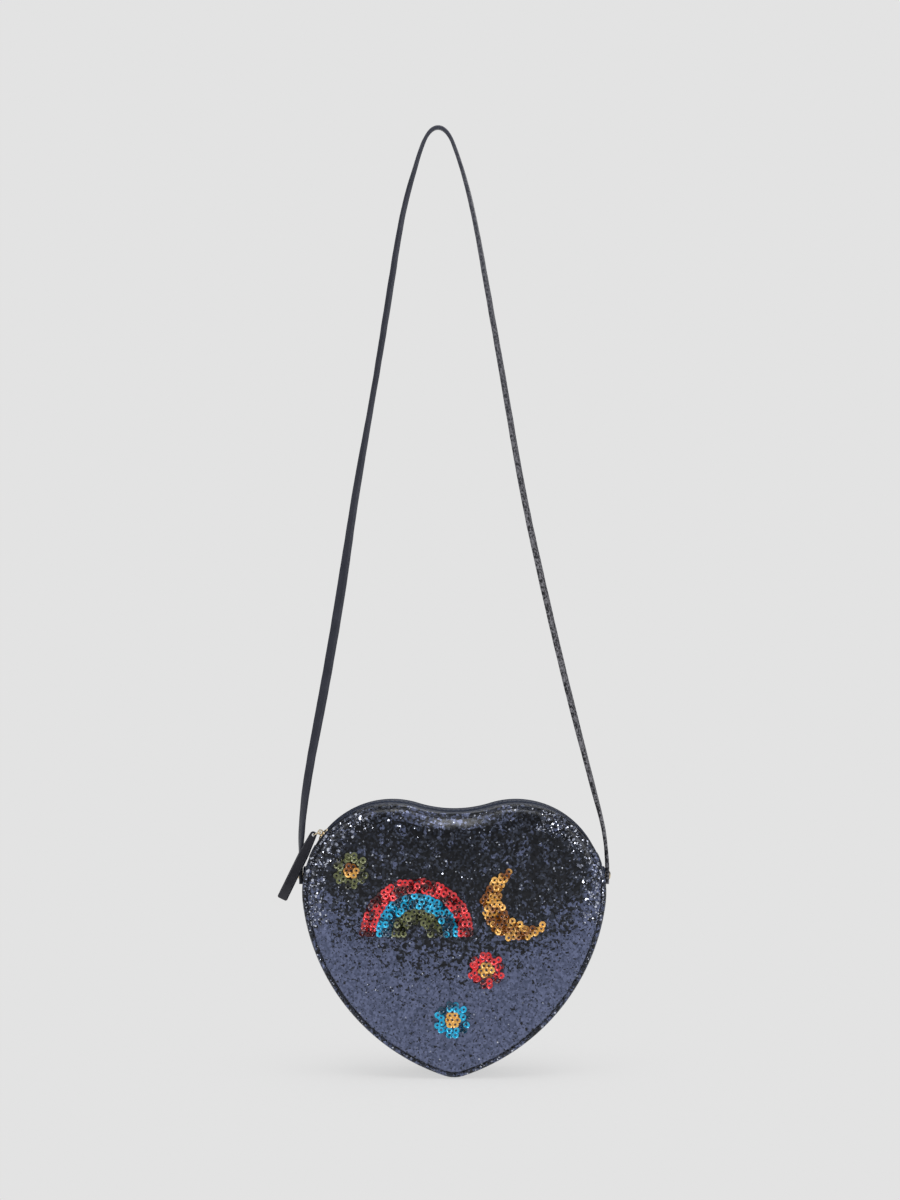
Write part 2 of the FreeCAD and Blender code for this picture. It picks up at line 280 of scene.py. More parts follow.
def stitch(heap, at, mid, length, radius, shares=stitch_shares):
    """A short tube with thinner ends: a function gives its point at a distance and a share of its rise."""
    path = [at(mid + share * length / 2, 1 - share ** 2) for share in shares]
    rings = []
    for i, point in enumerate(path):
        ahead = heading(path, i)
        across = ahead.cross(thread_skew).normalized()
        up = across.cross(ahead).normalized()
        size = radius * (thread_end_share if i in (0, len(path) - 1) else 1)
        rings.append(ring_about(point, across, up, size, round_turns(thread_sides)))
    heap.loft(rings)


def seam(name, at, mids, length, radius):
    """A line of stitches with their middles at given distances."""
    heap = Heap()
    for mid in mids:
        stitch(heap, at, mid, length, radius)
    return heap.piece(name, thread_fibre)


# Materials: texture scales are counts to the metre
def graph(name):
    """A new material, a function that adds nodes to it, and its shader."""
    material = bpy.data.materials.new(name)
    material.use_nodes = True
    tree = material.node_tree
    return material, node_maker(tree), tree.nodes["Principled BSDF"]


def node_maker(tree):
    """A function that adds a node to a tree with given settings and inputs."""
    def add(kind, settings=None, **inputs):
        node = tree.nodes.new("ShaderNode" + kind)
        for key, value in (settings or {}).items():
            setattr(node, key, value)
        connect(node, **inputs)
        return node
    return add


def connect(node, **inputs):
    """Sets inputs by their names or numbers, or links those whose value is an output."""
    for key, value in inputs.items():
        socket = node.inputs[int(key[1:])] if key[1:].isdigit() else node.inputs[key.replace("_", " ")]
        if isinstance(value, bpy.types.NodeSocket):
            node.id_data.links.new(value, socket)
        else:
            socket.default_value = (*value, 1) if socket.type == "RGBA" else value


def mix_colour(add, share, first, second):
    return add("Mix", {"data_type": "RGBA"}, Factor=share, i6=first, i7=second).outputs[2]


def sums(add, operation, first, second):
    return add("Math", {"operation": operation}, i0=first, i1=second).outputs[0]


def vectors(add, operation, first, **inputs):
    return add("VectorMath", {"operation": operation}, i0=first, **inputs).outputs[0]


def ranged(add, value, span=(0, 1), to=(0, 1)):
    """A value moved from one span to another, and held inside it."""
    node = add("MapRange", Value=value, From_Min=span[0], From_Max=span[1], To_Min=to[0], To_Max=to[1])
    return node.outputs[0]


def noise_at(add, place, kind="FBM", **inputs):
    return add("TexNoise", {"noise_type": kind}, Vector=place, **inputs).outputs["Fac"]


def bumped(add, height, depth, **inputs):
    return add("Bump", Height=height, Distance=depth, **inputs).outputs[0]


def place_of(add):
    return add("TexCoord").outputs["Object"]


noise_span = (0.3, 0.7)
lit_right_run = (4 * mm, 60 * mm)


def hide(name, dark, light, roughness, grain=1500, depth=0.06 * mm, crease=0.0, shine=0.5, sheen_patches=None):
    """Pebbled leather-like sheet, creased where asked, and where asked painted lighter to the right in
    mottled patches: a painted sheen.
    """
    material, add, shader = graph(name)
    place = place_of(add)
    pebble = add("TexVoronoi", {"feature": "SMOOTH_F1"}, Vector=place, Scale=grain, Smoothness=0.4)
    fine = noise_at(add, place, Scale=2600.0, Detail=2.0)
    tone = ranged(add, noise_at(add, place, Scale=70.0, Detail=4.0, Roughness=0.65), noise_span)
    height = sums(add, "ADD", pebble.outputs["Distance"], fine)
    normal = bumped(add, height, depth, Strength=0.55)
    if crease:
        fold = noise_at(add, place, "RIDGED_MULTIFRACTAL", Scale=210.0, Detail=3.0)
        normal = bumped(add, fold, crease, Strength=0.5, Normal=normal)
    tint = mix_colour(add, tone, dark, light)
    # Painted sheen: the sheet turns lighter towards the right, in mottled patches of near black and pale grey
    if sheen_patches:
        lit_right = ranged(add, add("SeparateXYZ", Vector=place).outputs["X"], lit_right_run)
        sheen_mottle = ranged(add, noise_at(add, place, Scale=720.0, Detail=2.0), span=(0.43, 0.57))
        tint = mix_colour(add, lit_right, tint, mix_colour(add, sheen_mottle, *sheen_patches))
    gloss = ranged(add, fine, span=(0.25, 0.75), to=(roughness - 0.07, roughness + 0.1))
    connect(shader, Base_Color=tint, Roughness=gloss, Normal=normal, Specular_IOR_Level=shine)
    return material


def weave(name, dark, light, pitch, roughness):
    """Plain woven cloth: two crossed waves and an uneven tone."""
    material, add, shader = graph(name)
    place = place_of(add)
    waves = []
    for way in ("X", "Z"):
        bands = {"wave_type": "BANDS", "wave_profile": "SIN", "bands_direction": way}
        waves.append(add("TexWave", bands, Vector=place, Scale=1 / (pi * pitch)).outputs["Fac"])
    threads = sums(add, "MULTIPLY", *waves)
    slub = noise_at(add, place, Scale=900.0, Detail=3.0)
    tone = sums(add, "MULTIPLY", slub, ranged(add, threads, to=(0.6, 1.4)))
    connect(shader, Base_Color=mix_colour(add, tone, dark, light), Roughness=roughness, Sheen_Weight=0.25)
    connect(shader, Normal=bumped(add, threads, depth=0.1 * mm, Strength=0.5))
    return material


def gold(name):
    """Pale plated metal with fine scratches."""
    material, add, shader = graph(name)
    place = place_of(add)
    cloud = noise_at(add, place, Scale=400.0, Detail=3.0)
    scratch = noise_at(add, place, Scale=3000.0, Detail=2.0, Distortion=2.0)
    tint = mix_colour(add, cloud, (0.68, 0.53, 0.33), (0.90, 0.79, 0.58))
    gloss = ranged(add, scratch, noise_span, to=(0.18, 0.36))
    normal = bumped(add, scratch, depth=0.03 * mm, Strength=0.12)
    connect(shader, Base_Color=tint, Roughness=gloss, Metallic=1.0, Normal=normal)
    return material


def sequin(name, dark, light):
    """Glossy dyed foil: each cup is painted at its own brightness between its shaded and its lit colour, and
    painted shade darkens cups in drifts.
    """
    material, add, shader = graph(name)
    lone = add("NewGeometry").outputs["Random Per Island"]
    shade_drift = noise_at(add, place_of(add), Scale=95.0, Detail=1.0)
    shade_drift = ranged(add, shade_drift, span=(0.35, 0.65), to=(-0.35, 0.35))
    # Painted shade and painted highlight: where each cup lies between its shaded and its lit colour
    tone = ranged(add, sums(add, "ADD", lone, shade_drift), span=(0.25, 0.6))
    gloss = ranged(add, lone, to=(0.16, 0.32))
    tint = mix_colour(add, tone, dark, light)
    connect(shader, Base_Color=tint, Roughness=gloss, Metallic=0.2, Coat_Weight=0.3)
    return material


# The glitter's painted reflection: its flakes turn darker from the foot of a line that dips in the middle up
# to its top
bowl_rise = 43 * mm
bowl_top = -16 * mm
bowl_foot = -66 * mm
speck_cap = 0.985
flake_cap = 0.93
flake_black = (0.002, 0.003, 0.006)
flake_night = (0.036, 0.044, 0.068)
flake_shaded_pale = (0.052, 0.062, 0.092)
flake_slate = (0.056, 0.071, 0.131)
flake_silver = (0.158, 0.184, 0.315)


def glitter(name, painted_lit_span, scatter, film):
    """Slate glitter cloth under a clear film: fine flakes with a few black specks, painted darker towards the
    top as a painted reflection of the dark room, and lighter below as a painted reflection of the bright
    floor.
    """
    material, add, shader = graph(name)
    place = place_of(add)
    fine = add("TexVoronoi", Vector=place, Scale=1500.0).outputs["Color"]
    coarse = add("TexVoronoi", Vector=place, Scale=760.0).outputs["Color"]
    flake = add("SeparateColor", Color=fine).outputs
    speck = add("SeparateColor", Color=coarse).outputs
    # Painted reflection: the share of lit flakes, which falls towards the top and is broken up by noise
    painted_lit_share = ranged(add, bowl(add, place), (middle.z + bowl_top, middle.z + bowl_foot), painted_lit_span)
    shade_drift = noise_at(add, place, Scale=34.0, Detail=2.0)
    shade_clump = noise_at(add, place, Scale=165.0, Detail=4.0, Roughness=0.6)
    for spread, reach in ((shade_drift, 0.16), (shade_clump, 0.46)):
        painted_lit_share = sums(add, "ADD", painted_lit_share, ranged(add, spread, noise_span, to=(-reach, reach)))
    pale = sums(add, "LESS_THAN", speck[0], sums(add, "MINIMUM", painted_lit_share, speck_cap))
    pale = sums(add, "MULTIPLY", pale, sums(add, "LESS_THAN", flake[0], flake_cap))
    dark = mix_colour(add, ranged(add, speck[1], span=(0.55, 1)), flake_black, flake_night)
    bright = mix_colour(add, speck[1], flake_slate, flake_silver)
    # Pale flakes are dimmed where the painted shade lies
    light = mix_colour(add, ranged(add, painted_lit_share, span=(0.15, 0.45)), flake_shaded_pale, bright)
    tilt = vectors(add, "SCALE", vectors(add, "SUBTRACT", coarse, i1=(0.5, 0.5, 0.5)), Scale=scatter)
    lean = vectors(add, "ADD", add("NewGeometry").outputs["Normal"], i1=tilt)
    connect(shader, Base_Color=mix_colour(add, pale, dark, light), Normal=vectors(add, "NORMALIZE", lean))
    connect(shader, Roughness=ranged(add, flake[2], to=(0.3, 0.45)), Metallic=0.55)
    connect(shader, Coat_Weight=film, Coat_Roughness=0.34)
    return material


def bowl(add, place):
    """Height above a line that dips in the middle of the heart: it sets where the glitter's painted
    reflection turns from dark to light.
    """
    parts = add("SeparateXYZ", Vector=place).outputs
    side = ranged(add, parts["X"], (middle.x - half_width, middle.x + half_width), (-1, 1))
    rise = sums(add, "MULTIPLY", sums(add, "MULTIPLY", side, side), bowl_rise)
    return sums(add, "SUBTRACT", parts["Z"], rise)


def foil(name):
    """Loose flakes of silver foil with a blue cast."""
    material, add, shader = graph(name)
    lone = add("NewGeometry").outputs["Random Per Island"]
    tint = mix_colour(add, lone, (0.16, 0.18, 0.26), (0.72, 0.75, 0.84))
    connect(shader, Base_Color=tint, Metallic=1.0, Roughness=ranged(add, lone, to=(0.3, 0.14)))
    return material


# Painted reflection on the glitter: the cloth darkens towards the top, and the rim is held darker
glitter_cloth = glitter("glitter_cloth", (0.08, 1.18), scatter=0.42, film=0.34)
glitter_edge = glitter("glitter_edge", (0.14, 0.34), scatter=0.75, film=0.34)
# Painted highlight: the dent under the cleft gets a lighter band of glitter under a full film
glitter_lip_highlight = glitter("glitter_lip_highlight", (0.45, 0.6), scatter=0.42, film=1.0)
flake_foil = foil("flake_foil")
navy_hide = hide("navy_hide", (0.009, 0.015, 0.034), (0.018, 0.027, 0.055), roughness=0.5,
                 depth=0.03 * mm, shine=0.22)
# The strap's right leg gets a painted sheen
strap_hide = hide("strap_hide", (0.022, 0.024, 0.035), (0.042, 0.044, 0.06), roughness=0.44, shine=0.36,
                  crease=0.25 * mm, sheen_patches=((0.008, 0.008, 0.011), (0.19, 0.186, 0.202)))
pull_hide = hide("pull_hide", (0.014, 0.014, 0.02), (0.034, 0.033, 0.043), roughness=0.42)
tooth_nylon = hide("tooth_nylon", (0.01, 0.012, 0.02), (0.024, 0.028, 0.044), roughness=0.34,
                   grain=2500, depth=0.02 * mm)
lining_cloth = weave("lining_cloth", (0.008, 0.01, 0.02), (0.03, 0.035, 0.065), pitch=0.5 * mm, roughness=0.6)
tape_cloth = weave("tape_cloth", (0.006, 0.008, 0.014), (0.024, 0.028, 0.046), pitch=0.4 * mm, roughness=0.7)
thread_fibre = weave("thread_fibre", (0.012, 0.014, 0.024), (0.05, 0.055, 0.085),
                     pitch=0.25 * mm, roughness=0.55)
gold_plate = gold("gold_plate")
# Each foil's two colours are its shaded and its lit look, for the painted shade and painted highlights of the
# cups
sequin_gold = sequin("sequin_gold", (0.25, 0.075, 0.007), (1.0, 0.56, 0.13))
sequin_red = sequin("sequin_red", (0.07, 0.004, 0.006), (0.95, 0.055, 0.065))
sequin_cyan = sequin("sequin_cyan", (0.004, 0.05, 0.1), (0.02, 0.56, 0.9))
sequin_olive = sequin("sequin_olive", (0.012, 0.014, 0.005), (0.17, 0.185, 0.075))

# Camera, level, at the photograph's distance
camera_back = 1.70
camera_x = 7.3 * mm
camera_z = -283.2 * mm
photo_high = 1200
focal_pixels = 2830
sensor = 36.0
camera = placed("camera", bpy.data.cameras.new("camera"))
camera.data.sensor_width = sensor
camera.data.lens = focal_pixels / photo_high * sensor
camera.location = (camera_x, middle.y - camera_back, camera_z)
camera.rotation_euler = (pi / 2, 0, 0)
bpy.context.scene.camera = camera

# The strap: its route in millimetres, and its twist in degrees at shares of its length
strap_width = 7.0 * mm
strap_wall = 2.2 * mm
strap_corner = 0.8 * mm
strap_ease = 0.12 * mm
strap_ease_run = 9.0 * mm
strap_route = [
    (-82.2, -453.8), (-83.0, -431.0), (-79.2, -393.0), (-69.0, -341.0), (-58.6, -281.0),
    (-49.6, -219.0), (-38.4, -157.0), (-29.4, -101.0), (-22.0, -53.0), (-13.4, -21.0),
    (-5.6, 1.1), (5.6, 1.1), (14.0, -21.0), (21.8, -51.0), (30.6, -101.0), (40.2, -155.0),
    (50.8, -218.0), (65.4, -284.0), (79.8, -344.0), (92.6, -393.0), (102.6, -431.0), (101.8, -453.8),
]
strap_twist_shares = [
    (0, 0), (0.012, 2), (0.035, 22), (0.067, 35), (0.12, 43), (0.186, 43), (0.25, 29), (0.316, 17),
    (0.38, 21), (0.447, 15), (0.48, 7), (0.5, 2), (0.52, 5), (0.553, 9), (0.62, 15), (0.7, 18),
    (0.8, 21), (0.88, 20), (0.932, 14), (0.965, 5), (0.988, 0), (1, 0),
]


def strap_line():
    """Points of the smooth line that the strap follows."""
    curve = bpy.data.curves.new("strap_line", "CURVE")
    curve.dimensions = "3D"
    spline = curve.splines.new("NURBS")
    spline.points.add(len(strap_route) - 1)
    for point, (x, z) in zip(spline.points, strap_route):
        point.co = (x * mm, 0, z * mm, 1)
    spline.order_u = 3
    spline.use_endpoint_u = True
    spline.resolution_u = 24
    thing = bpy.data.objects.new("strap_line", curve)
    line = bpy.data.meshes.new_from_object(thing)
    points = [vertex.co.copy() for vertex in line.vertices]
    bpy.data.objects.remove(thing)
    bpy.data.curves.remove(curve)
    bpy.data.meshes.remove(line)
    return points


def strap():
    """A flat band along the line, twisted as it hangs."""
    path = strap_line()
    reach = [0]
    for a, b in zip(path, path[1:]):
        reach.append(reach[-1] + (b - a).length)
    outline = rounded_box(strap_width, strap_wall, strap_corner)
    rings = []
    for i, point in enumerate(path):
        ahead = heading(path, i).normalized()
        twist = radians(between(strap_twist_shares, reach[i] / reach[-1]))
        wide = Matrix.Rotation(twist, 3, ahead) @ y_axis
        face = ahead.cross(wide)
        ripple = strap_ease * noise.noise(point / strap_ease_run)
        rings.append([point + wide * w + face * (t + ripple) for w, t, _, _ in outline])
    band = lofted("shoulder_strap_band", rings, strap_hide)
    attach(band, "strap")
    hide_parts("shoulder_strap")
    tuple(path[0])
    [tuple(point) for point in path]


strap()

# Panels of the heart: profiles are insets and heights over the gusset's edge, in millimetres
hub_drop = 12.0 * mm
flat_rings = 22
flat_start = 0.4
flat_shares = [(i + flat_start) / flat_rings for i in range(flat_rings)]
front_profile = [
    (0.25, 0.0), (0.0, 0.6), (-0.1, 1.5), (0.0, 2.2), (0.35, 2.9), (0.9, 3.35), (1.6, 3.5), (2.0, 3.45),
    (2.4, 3.1), (2.8, 3.5), (3.4, 4.2), (4.6, 5.0), (6.6, 5.6), (9.4, 6.05), (14.0, 6.4),
]
front_rise = 2.0 * mm
front_rings = 34
back_profile = [
    (0.25, 0.0), (0.0, 0.6), (-0.05, 1.6), (0.35, 2.4), (1.3, 2.85), (2.8, 2.95), (3.6, 2.85),
    (4.1, 2.55), (4.6, 2.85), (5.6, 3.0), (9.0, 3.05), (14.0, 3.1),
]
back_rise = 0.25 * mm
back_rings = 12

# Unevenness of the padding, its dent under the cleft, and heights over the gusset's edge
pad_ease = 0.22 * mm
pad_wave = 16.0 * mm
pad_height = 3.6 * mm
pad_fade = 2.0 * mm
dent_share = 0.8
dent_high = 6.2 * mm
dent_wide = 26 * mm
lip_share = 0.12
seam_height = 0.6 * mm
rim_height = 4.0 * mm
ray_start = 0.2


def heart_ring(inset, y):
    return [on_band(round_length * i / heart_samples, inset, y) for i in range(heart_samples)]


def drawn_in(ring, share, y):
    """The ring drawn towards the middle of the heart, at another depth."""
    x, z = middle.x, middle.z - hub_drop
    return [Vector((x + (p.x - x) * share, middle.y + y, z + (p.z - z) * share)) for p in ring]


def heart_plate(name, profile, side, crown_rings, crown_rise, material):
    """A closed heart on the front, side -1, or the back, side 1: flat inside, with a crowned middle."""
    flat_y = side * gusset_half
    rim = [(inset * mm, flat_y + side * height * mm) for inset, height in profile]
    edge = heart_ring(*rim[0])
    rings = [drawn_in(edge, share, flat_y) for share in flat_shares]
    rings += [heart_ring(inset, y) for inset, y in rim]
    last, last_y = rings[-1], rim[-1][1]
    for i in range(1, crown_rings):
        share = 1 - i / crown_rings
        rings.append(drawn_in(last, share, last_y + side * crown_rise * (1 - share ** 2)))
    return lofted(name, rings, material, sharp_deg=70)


def fold_with_mouth(piece):
    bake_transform(piece)


def dent_at(place):
    """Share of the padding's height that is pressed in, which is most at the cleft."""
    away = place - middle - Vector((0, 0, lobe_radius - cleft_depth))
    return exp(-(away.x / dent_wide) ** 2 - abs(away.z / dent_high) ** 3)


def over_edge(place):
    """How far a place stands in front of the gusset's front edge."""
    return middle.y - gusset_half - place.y


def front_panel():
    """The padded front, uneven and dented, with darker glitter on its rim and a painted highlight band of
    lighter glitter in the dent under the cleft.
    """
    panel = heart_plate("front_glitter_panel", front_profile, -1, front_rings, front_rise, glitter_cloth)
    for vertex in panel.data.vertices:
        padded = over_edge(vertex.co) - pad_height
        if padded > 0:
            vertex.co.y += pad_ease * min(1, padded / pad_fade) * noise.noise(vertex.co / pad_wave)
        proud = over_edge(vertex.co) - seam_height
        if proud > 0:
            vertex.co.y += proud * dent_share * dent_at(vertex.co)
    panel.data.materials.append(glitter_edge)
    panel.data.materials.append(glitter_lip_highlight)
    # Rim faces take the darker glitter, and faces in the dent take the glitter with the painted highlight
    for face in panel.data.polygons:
        face.material_index = int(over_edge(face.center) < rim_height)
        if dent_at(face.center) > lip_share:
            face.material_index = 2
    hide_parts("front_panel_lower", "front_panel_flap", "front_foam_lower", "front_foam_flap")
    return panel


panel = front_panel()
front_points = [vertex.co.copy() for vertex in panel.data.vertices]
front_face = BVHTree.FromPolygons(front_points, [tuple(face.vertices) for face in panel.data.polygons])


def on_front(x, z):
    """Point and normal on the padded front at x and z from the heart's middle, or nothing."""
    start = middle + Vector((x, -ray_start, z))
    point, normal, _, _ = front_face.ray_cast(start, y_axis)
    return (point, normal) if point else None


# Trim of the panels
front_stitch_inset = 2.4 * mm
back_stitch_inset = 4.1 * mm
stitch_pitch = 3.3 * mm
stitch_length = 2.5 * mm
stitch_rise = 0.35 * mm
thread_radius = 0.26 * mm
thread_proud = 0.05 * mm
groove_height = 2.55 * mm
piping_radius = 0.6 * mm
piping_inset = 0.3 * mm
piping_out = 0.35 * mm
piping_sides = 8
lining_wall = 0.6 * mm
lining_inset = 2.6 * mm
lining_gap = 0.3 * mm


def front_stitch_at(along, share):
    place = on_band(along, front_stitch_inset, 0)
    point, _ = on_front(place.x - middle.x, place.z - middle.z)
    place.y = point.y - thread_proud - stitch_rise * share
    return place


def back_stitch_at(along, share):
    y = gusset_half + groove_height + thread_proud + stitch_rise * share
    return on_band(along, back_stitch_inset, y)


def edge_stitches(name, at):
    """A line of stitches all round the heart."""
    count = round(round_length / stitch_pitch)
    mids = [round_length * i / count for i in range(count)]
    return seam(name, at, mids, stitch_length, thread_radius)


def piping(name, side):
    """The rolled edge of the front seam, side -1, or the back seam, side 1."""
    rings = []
    for turn in round_turns(piping_sides):
        y = side * (gusset_half + piping_out) + piping_radius * sin(turn)
        rings.append(heart_ring(piping_inset - piping_radius * cos(turn), y))
    return lofted(name, rings, navy_hide, loop=True)


def lining(name, y):
    """A flat heart of cloth, from a depth backwards."""
    edge = heart_ring(lining_inset, y)
    shares = (*flat_shares, 1)
    rings = [drawn_in(edge, share, y) for share in shares]
    rings += [drawn_in(edge, share, y + lining_wall) for share in reversed(shares)]
    piece = lofted(name, rings, lining_cloth)
    return piece


def trim(word, side, stitch_at, lining_y):
    """Stitches, piping and lining of one panel."""
    stitches = edge_stitches(f"{word}_topstitch", stitch_at)
    edge = piping(f"{word}_piping", side)
    return stitches, edge, lining(f"{word}_lining_sheet", lining_y)


def front_trim():
    stitches, edge, sheet = trim("front", -1, front_stitch_at, lining_gap - gusset_half)
    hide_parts("front_lining_lower", "front_lining_flap")
    for piece in (stitches, edge, sheet):
        fold_with_mouth(piece)


def back_side():
    hide_back = heart_plate("back_hide_panel", back_profile, 1, back_rings, back_rise, navy_hide)
    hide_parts("back_panel", "back_board")
    stitches, edge, sheet = trim("back", 1, back_stitch_at, gusset_half - lining_gap - lining_wall)
    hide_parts("back_lining")
    for piece in (hide_back, stitches, edge, sheet):
        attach(piece, "bag")


front_trim()
back_side()

# Bands between the panels: sections are insets and depths, in millimetres
edge_mm = gusset_half / mm
gusset_section = in_metres([
    (0.3, -edge_mm), (0.05, 1 - edge_mm), (0.15, -15.0), (0.3, -8.0), (0.35, 0.0), (0.3, 8.0), (0.15, 15.0),
    (0.05, edge_mm - 1), (0.3, edge_mm), (1.9, edge_mm), (1.9, 0.0), (1.9, -edge_mm),
])
gusset_lining_section = in_metres([
    (1.95, 0.2 - edge_mm), (1.95, 0.0), (1.95, edge_mm - 0.2),
    (2.55, edge_mm - 0.2), (2.7, 0.0), (2.55, 0.2 - edge_mm),
])
facing_section = in_metres([
    (0.25, edge_mm), (0.02, edge_mm - 1), (0.1, 13.0), (0.0, 8.2), (0.12, 7.0), (0.0, 6.2), (0.3, 5.6),
    (0.9, 5.45), (1.45, 5.8), (1.6, 7.0), (1.6, edge_mm),
])
tape_section = in_metres([(1.62, 2.0), (1.6, 4.0), (1.62, 9.0), (2.2, 9.0), (2.2, 2.0)])
gusset_ease = 0.25 * mm
facing_ease = 0.12 * mm
ease_run = 11.0 * mm
zip_stitch_y = 7.0 * mm
zip_stitch_margin = 2.0 * mm
zip_stitch_pitch = 2.9 * mm
zip_stitch_length = 2.2 * mm
zip_stitch_inset = 0.2 * mm
zip_stitch_rise = 0.3 * mm
zip_thread_radius = 0.24 * mm

# Teeth: depths from the middle of the zip, and shares of size there
tooth_size_shares = [(2.5 * mm, 1.0), (1.0 * mm, 1.0), (0.1 * mm, 0.85), (-0.45 * mm, 0.6)]
tooth_margin = 3.0 * mm
tooth_pitch = 1.7 * mm
tooth_length = 1.0 * mm
tooth_top = 0.9 * mm
tooth_foot = 2.75 * mm


def band(name, section, first, last, material, ease=0.0, side=1):
    """A strip along the outline with a section of insets and depths, which sways by its ease."""
    rings = []
    for along in steps(first, last, run_step):
        ring = []
        for inset, depth in section:
            y = side * depth
            sway = ease * noise.noise(Vector((along, y, 0)) / ease_run)
            ring.append(on_band(along, inset + sway, y))
        rings.append(ring)
    return lofted(name, rings, material)


def zip_stitches(name, y):
    """A line of stitches along one side of the zip."""
    def at(along, share):
        return on_band(along, zip_stitch_inset - zip_stitch_rise * share, y)

    mids = steps(zip_start + zip_stitch_margin, zip_end - zip_stitch_margin, zip_stitch_pitch)
    return seam(name, at, mids, zip_stitch_length, zip_thread_radius)


def teeth(name, side, shift):
    """A row of moulded teeth that reach just past the middle of the zip."""
    heap = Heap()
    for mid in steps(zip_start + tooth_margin, zip_end - tooth_margin, tooth_pitch):
        rings = []
        for y, share in tooth_size_shares:
            half = tooth_length * share / 2
            drop = (tooth_foot - tooth_top) * (1 - share) / 2
            high, low = tooth_top + drop, tooth_foot - drop
            corners = ((-half, high), (half, high), (half, low), (-half, low))
            rings.append([on_band(mid + shift + a, inset, side * y) for a, inset in corners])
        heap.loft(rings)
    return heap.piece(name, tooth_nylon, sharp_deg=30)


def gusset():
    run = (zip_end, round_length + zip_start)
    outer = band("gusset_hide_band", gusset_section, *run, navy_hide, gusset_ease)
    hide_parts("gusset_band")
    inner = band("gusset_lining_band", gusset_lining_section, *run, lining_cloth)
    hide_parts("gusset_lining")
    for piece in (outer, inner):
        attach(piece, "bag")


def zip_side(side, word, ends):
    """One side of the zip: the front one's pieces get their transforms baked, and the back one's are attached
    to the bag.
    """
    run = (zip_start, zip_end)
    pieces = {
        "facing": band(f"zip_facing_{word}_band", facing_section, *run, navy_hide, facing_ease, side),
        "tape": band(f"zip_tape_{word}_strip", tape_section, *run, tape_cloth, side=side),
        "teeth": teeth(f"zip_teeth_{word}_row", side, tooth_pitch / 2 if side < 0 else 0),
    }
    stitches = zip_stitches(f"zip_stitches_{word}", side * zip_stitch_y)
    for kind, piece in pieces.items():
        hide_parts(*[f"zip_{kind}_{word}{end}" for end in ends])
    for piece in (*pieces.values(), stitches):
        if side < 0:
            fold_with_mouth(piece)
        else:
            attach(piece, "bag")


gusset()
zip_side(1, "back", ("",))
zip_side(-1, "front", ("", "_end"))

# Tabs over the ends of the zip: levels are insets and heights
tab_width = 14.0 * mm
tab_length = 7.0 * mm
tab_corner = 2.0 * mm
tab_levels = in_metres([(0, 0), (0, 0.5), (0.1, 0.7), (0.35, 0.8)])


def end_tab(side):
    """A leather-like tab over one end of the zip."""
    x, z = node_middle(f"zip_end_tab_{side}")
    end = along_lobe(side, atan2(z, x - lobe_x if side == "right" else x + lobe_x))

    def place(a, b, height):
        return on_band(end + a, -height, b)

    rings = plate_rings(rounded_box(tab_length, tab_width, tab_corner), place, tab_levels)
    tab = lofted(f"zip_end_tab_{side}_hide", rings, navy_hide)
    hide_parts(f"zip_end_tab_{side}")
    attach(tab, "bag")


# The slider: levels are insets and depths under the outline of the heart
slider_at = Vector(joints["pull_swing"]["pos_m"])
slider_turn = atan2(slider_at.z - left_lobe.z, slider_at.x - left_lobe.x)
slider_mid = along_lobe("left", slider_turn)
slider_length = 9.0 * mm
slider_width = 7.8 * mm
slider_corner = 1.6 * mm
slider_waist_share = 0.78
slider_upper = in_metres([
    (0.5, 0.55), (0.05, 0.9), (0.0, 0.6), (0.0, 0.0), (0.12, -0.35), (0.5, -0.6), (1.3, -0.75),
    (1.7, -0.95), (2.2, -1.08), (3.0, -1.12),
])
slider_lower = in_metres([(0.6, 3.3), (0.1, 3.35), (0.0, 3.6), (0.0, 4.0), (0.3, 4.3), (1.2, 4.4)])
post_length = 2.0 * mm
post_width = 0.8 * mm
post_corner = 0.35 * mm
post_back = 2.0 * mm
post_depths = (0.4 * mm, 3.5 * mm)


def slider():
    """Two plates joined by a post, the upper one with turned-down edges and a raised crown."""
    def place(a, b, height):
        part = a / slider_length + 0.5
        waist = 1 - (1 - slider_waist_share) * (1 - part) ** 2
        return on_band(slider_mid + a, height, b * waist)

    heap = Heap()
    outline = rounded_box(slider_length, slider_width, slider_corner, corner_steps=6)
    for levels in (slider_upper, slider_lower):
        heap.loft(plate_rings(outline, place, levels))
    post = rounded_box(post_length, post_width, post_corner)
    post_mid = slider_mid + slider_length / 2 - post_back
    heap.loft([[on_band(post_mid + a, inset, b) for a, b, _, _ in post] for inset in post_depths])
    body = heap.piece("zip_slider", gold_plate)
    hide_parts("slider_body")
    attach(body, "slider")


# The pull: levels are insets and drops from its faces
pull_lean = radians(10.5)
ring_deg = 200
pull_deg = 244
ring_reach = 4.6 * mm
pull_length = 45.0 * mm
pull_wall = 1.6 * mm
pull_top = 4.4 * mm
pull_width = 6.4 * mm
pull_shoulder = 13.0 * mm
pull_corner = 1.2 * mm
pull_hole = 0.9 * mm
pull_bow = 1.2 * mm
pull_step = 2.0 * mm
head_steps = 16
foot_steps = 6
pull_levels = in_metres([(0.35, 0.0), (0.08, 0.3)])
pull_face_shares = (0, 0.3, 0.7)
seam_top = 4.5 * mm
seam_foot = 5.0 * mm
seam_pitch = 2.8 * mm
seam_length = 2.0 * mm
seam_inset = 0.95 * mm
seam_rise = 0.16 * mm
seam_radius = 0.17 * mm
seam_shares = (-1, -0.5, 0, 0.5, 1)


def leaning(turn_deg):
    """Direction at an angle seen from the front, leaning towards the viewer."""
    turn = radians(turn_deg)
    flat = Vector((cos(turn), 0, sin(turn)))
    return flat * cos(pull_lean) - Vector((0, sin(pull_lean), 0))


